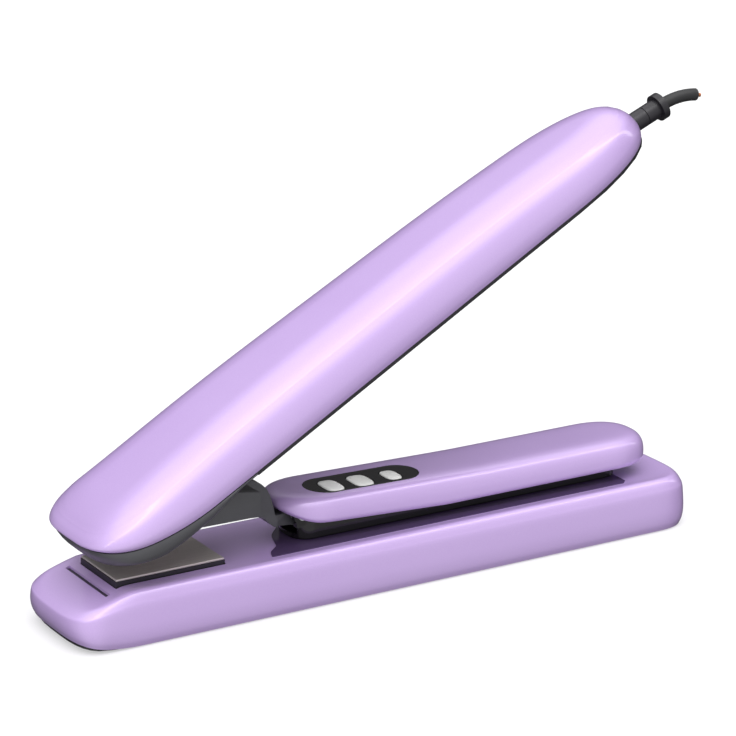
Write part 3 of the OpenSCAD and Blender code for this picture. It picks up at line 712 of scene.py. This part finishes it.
def upper_chin():
    rings = []
    for inset, share in ((25, 1), (2.8, 1), (1.7, 0.95), (1.1, 0.82), (0.7, 0.6), (0.5, 0.35),
                         (0.5, 0.1), (0.7, 0), (25, 0)):
        ring = []
        for s, y in chin_loop(inset):
            depth = SEAM_GAP + (chin_depth(s) - SEAM_GAP) * share
            ring.append(on_arm(s, y, arm_height(s, 0) - depth))
        rings.append(ring)
    count = len(rings[0])
    verts, faces = walls(rings)
    for start in (0, (len(rings) - 1) * count):
        faces.append(tuple(range(start, start + count)))
    chin = to_object("upper_chin_skin", verts, faces)
    plate_s = plate_start()
    carve(chin, brick("plate_well", (plate_s - 0.5, -15.2, -20),
                       (plate_s + PLATE["length"] + 0.5, 15.2, 40), on_arm),
          brick("link_way", (28, -19.95, -20), (78, 19.95, 40), on_arm))
    lugs = []
    for hand in (-1, 1):
        y0, y1 = sorted((hand * 20.2, hand * 23.2))
        lugs.append(round_bar("lug", tilt_pin, 5, y0, y1))
        lugs.append(brick("lug_root", (31, y0, -1.2), (41, y1, 5), on_arm))
    join(chin, *lugs)
    carve(chin, round_bar("pin_way", tilt_pin, 2.05, -40, 40))
    return piece(chin, "upper_arm", "grey_plastic", "upper_chin")


def plate_start():
    """Distance along the arm to the upper plate."""
    low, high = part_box("upper_plate")
    middle = (low + high) / 2
    return (middle - arm_origin).dot(arm_along) / MM - PLATE["length"] / 2


def liner_path(inset):
    """The arm's outline behind the chin, round the tail, moved inwards."""
    start = (CHIN_LEN + 0.2, half_width(ARM_SHAPE, CHIN_LEN) - inset)
    half = [start, *(p for p in side(ARM_SHAPE, inset) if p[0] > CHIN_LEN + 1)]
    return [(s, -y) for s, y in half] + [(s, y) for s, y in reversed(half[:-1])]


def liner_edge():
    """Smooth outer edge of the black liner behind the chin."""
    section = [(3.6, -1.69), (1.5, -1.69), (1.1, -1.6), (0.87, -1.3), (0.87, -0.3), (1.1, -0.04),
               (3.6, -0.04)]
    paths = [[on_arm(s, y, n) for s, y in liner_path(inset)] for inset, n in section]
    count = min(len(path) for path in paths)
    verts = [v for path in paths for v in path[:count]]
    total = len(paths)
    faces = []
    for k in range(total):
        m = (k + 1) % total
        for i in range(count - 1):
            faces.append((k * count + i, k * count + i + 1, m * count + i + 1, m * count + i))
    for end in (0, count - 1):
        faces.append(tuple(k * count + end for k in range(total)))
    return piece(to_object("upper_liner_edge", verts, faces), "upper_arm", "black_plastic")


base_shell()
vent_strip()
lower_plate()
deck_inlay()
handle_cover()
control_panel()
buttons()
keel()
link()
upper_shell()
upper_chin()
liner_edge()

# ---- stage, light and camera ----

# levels of the light from straight below (0) to straight above (1)
OVERHEAD = [(0, 0.05), (0.4, 0.05), (0.55, 0.05), (0.7, 0.08), (0.82, 0.3), (0.9, 1.0), (1, 1.0)]
OVERHEAD_LEVEL = 1.6
# levels of the light from behind the object (0) to behind the camera (1)
FRONT = [(0, 0.0), (0.45, 0.05), (0.62, 0.5), (0.8, 1.0), (1, 1.0)]
FRONT_LEVEL = 0.85
FRONT_WAY = (-0.55, -0.8, 0.12)
# a narrow bright strip along the iron, above and a little in front of it
STRIP = [(0.47, 0.0), (0.485, 1.0), (0.515, 1.0), (0.53, 0.0)]
STRIP_ACROSS = (0, 0.92, 0.38)
STRIP_ABOVE = [(0.6, 0.0), (0.7, 1.0)]
STRIP_LEVEL = 4.0


def floor():
    half = 6.0
    sheet = to_object("floor", [(-half, -half, 0), (half, -half, 0), (half, half, 0), (-half, half, 0)],
                      [(0, 1, 2, 3)])
    m = Nodes("pale_floor")
    tone = m.mix(m.spread(m.noise(3, 2), 0, 1), (0.93, 0.93, 0.94, 1), (0.96, 0.96, 0.965, 1))
    m.set(base_color=m.mix(0.5, tone, (0, 0, 0, 1)), roughness=0.9, emission_color=tone,
          emission_strength=0.5)
    below = m.add("NewGeometry").outputs["Backfacing"]
    clear = m.add("BsdfTransparent").outputs[0]
    both = m.add("MixShader", {0: below, 1: m.shader.outputs[0], 2: clear}).outputs[0]
    m.tree.links.new(both, m.tree.nodes["Material Output"].inputs[0])
    sheet.data.materials.append(m.material)
    sheet.location.z = -0.0001
    sheet.visible_diffuse = False
    sheet.visible_glossy = False


def ramp(tree, value, stops):
    """Smooth curve through stops, a list of (position 0..1, level 0..1)."""
    node = tree.nodes.new("ShaderNodeValToRGB")
    node.color_ramp.interpolation = "EASE"
    elements = node.color_ramp.elements
    while len(elements) < len(stops):
        elements.new(0.5)
    for element, (place, level) in zip(elements, stops):
        element.position = place
        element.color = (level, level, level, 1)
    tree.links.new(value, node.inputs[0])
    return node.outputs[0]


def studio_light():
    """A broad soft light overhead and one behind the camera; the camera itself sees a white room."""
    world = bpy.data.worlds.new("studio")
    bpy.context.scene.world = world
    world.use_nodes = True
    tree = world.node_tree
    tree.nodes.clear()
    direction = tree.nodes.new("ShaderNodeTexCoord").outputs["Generated"]

    def along(vector):
        dot = tree.nodes.new("ShaderNodeVectorMath")
        dot.operation = "DOT_PRODUCT"
        tree.links.new(direction, dot.inputs[0])
        dot.inputs[1].default_value = Vector(vector).normalized()
        half = tree.nodes.new("ShaderNodeMath")
        half.operation = "MULTIPLY_ADD"
        tree.links.new(dot.outputs["Value"], half.inputs[0])
        half.inputs[1].default_value = 0.5
        half.inputs[2].default_value = 0.5
        return half.outputs[0]

    def light(colour, strength):
        node = tree.nodes.new("ShaderNodeBackground")
        node.inputs["Strength"].default_value = strength
        if isinstance(colour, bpy.types.NodeSocket):
            tree.links.new(colour, node.inputs["Color"])
        else:
            node.inputs["Color"].default_value = colour
        return node.outputs[0]

    overhead = ramp(tree, along((0, 0, 1)), OVERHEAD)
    front = ramp(tree, along(FRONT_WAY), FRONT)
    strip = tree.nodes.new("ShaderNodeMath")
    strip.operation = "MULTIPLY"
    tree.links.new(ramp(tree, along(STRIP_ACROSS), STRIP), strip.inputs[0])
    tree.links.new(ramp(tree, along((0, 0, 1)), STRIP_ABOVE), strip.inputs[1])
    soft, both = tree.nodes.new("ShaderNodeAddShader"), tree.nodes.new("ShaderNodeAddShader")
    tree.links.new(light(overhead, OVERHEAD_LEVEL), soft.inputs[0])
    tree.links.new(light(front, FRONT_LEVEL), soft.inputs[1])
    tree.links.new(soft.outputs[0], both.inputs[0])
    tree.links.new(light(strip.outputs[0], STRIP_LEVEL), both.inputs[1])
    mix = tree.nodes.new("ShaderNodeMixShader")
    tree.links.new(tree.nodes.new("ShaderNodeLightPath").outputs["Is Camera Ray"], mix.inputs[0])
    tree.links.new(both.outputs[0], mix.inputs[1])
    tree.links.new(light((0.96, 0.96, 0.965, 1), 1), mix.inputs[2])
    out = tree.nodes.new("ShaderNodeOutputWorld")
    tree.links.new(mix.outputs[0], out.inputs[0])


CAMERA = dict(azimuth=-30.87, elevation=17.53, distance=1.2, lens=152.26, target=(138.54, 0, 61.58))


def camera():
    """Looks at the iron from the front left, a little above it."""
    azimuth = math.radians(CAMERA["azimuth"])
    elevation = math.radians(CAMERA["elevation"])
    back = Vector((math.sin(azimuth) * math.cos(elevation), -math.cos(azimuth) * math.cos(elevation),
                   math.sin(elevation)))
    target = on_deck(*CAMERA["target"])
    data = bpy.data.cameras.new("camera")
    data.sensor_width = 36
    data.lens = CAMERA["lens"]
    data.clip_start = 0.05
    data.clip_end = 50
    cam = bpy.data.objects.new("camera", data)
    cam.location = target + back * CAMERA["distance"]
    cam.rotation_mode = "QUATERNION"
    cam.rotation_quaternion = (-back).to_track_quat("-Z", "Y")
    bpy.context.scene.collection.objects.link(cam)
    bpy.context.scene.camera = cam


floor()
studio_light()
camera()
bpy.context.scene.view_settings.view_transform = "Standard"
